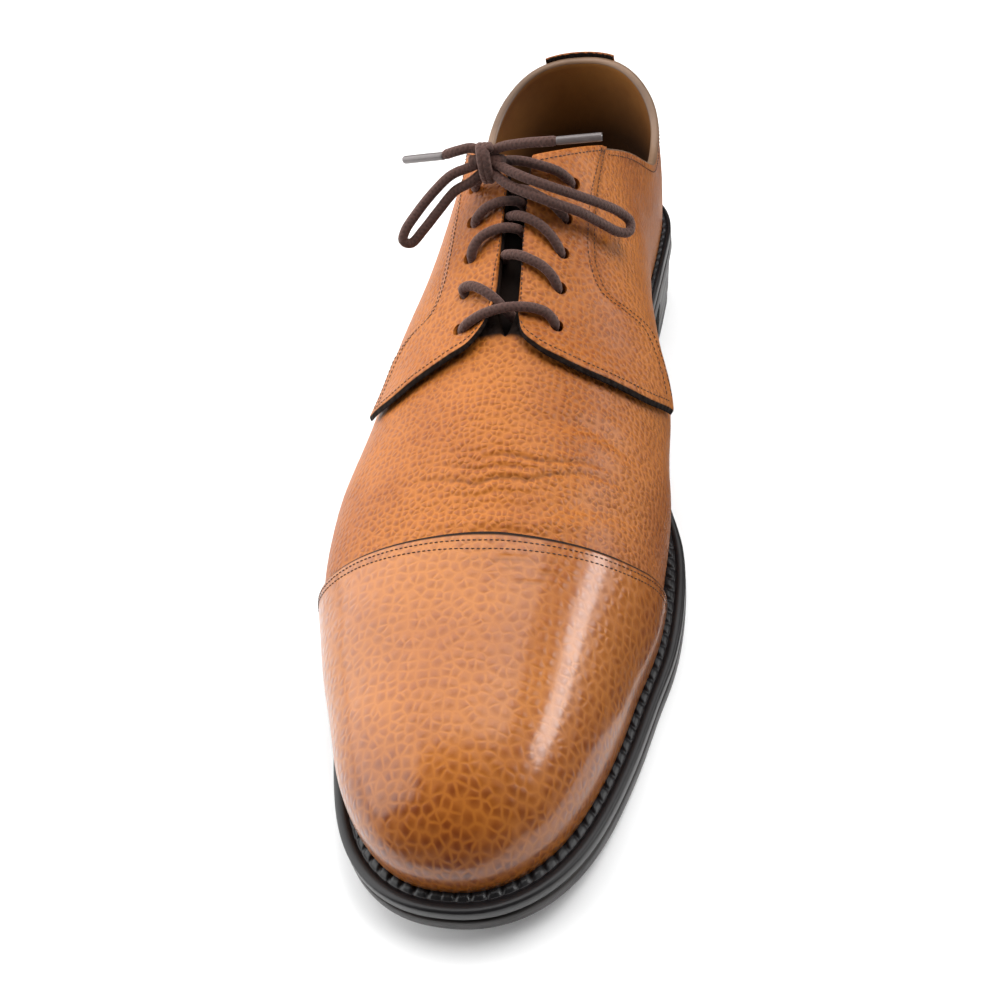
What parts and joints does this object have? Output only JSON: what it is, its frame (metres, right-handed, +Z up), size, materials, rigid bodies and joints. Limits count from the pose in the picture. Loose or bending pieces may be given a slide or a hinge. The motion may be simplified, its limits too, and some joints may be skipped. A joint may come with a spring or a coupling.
{
  "type": "cap toe derby shoe",
  "caption": "Low lace-up leather shoe for the right foot, with a stitched toe cap, open facings tied in a bow, a welted leather sole and a low stacked heel.",
  "frame": {"origin": "on the floor, at the middle of the shoe's length and width", "axes": "+Z up, +Y from the toe to the heel, +X to the medial side of this right shoe"},
  "size_m": [0.1069, 0.306, 0.1245],
  "materials": {
    "upper_leather": "pebbled tan leather, waxed, semi-gloss",
    "cap_leather": "pebbled tan leather burnished darker at the toe",
    "lining": "smooth tan lining leather, matt",
    "sole": "dark edge-dressed sole leather, semi-gloss",
    "welt": "black welt leather with wheeled marks",
    "heel_rubber": "black rubber lift, matt",
    "lace": "dark brown round waxed cotton cord",
    "aglet": "grey-brown plastic lace tip"
  },
  "bodies": {
    "root": {"outsole": "sole", "welt": "welt", "heel_stack": "sole", "heel_lift": "heel_rubber", "insole": "lining", "upper": "upper_leather", "toe_cap": "cap_leather", "facing_medial": "upper_leather", "facing_lateral": "upper_leather", "back_strip": "upper_leather", "tongue": "lining", "lace_bar": "lace", "lace_crossing_1": "lace", "lace_crossing_2": "lace", "lace_crossing_3": "lace", "lace_crossing_4": "lace", "lace_knot": "lace", "lace_loop_medial": "lace", "lace_loop_lateral": "lace", "lace_end_medial": "lace", "lace_end_lateral": "lace", "aglet_medial": "aglet", "aglet_lateral": "aglet"}
  },
  "joints": []
}
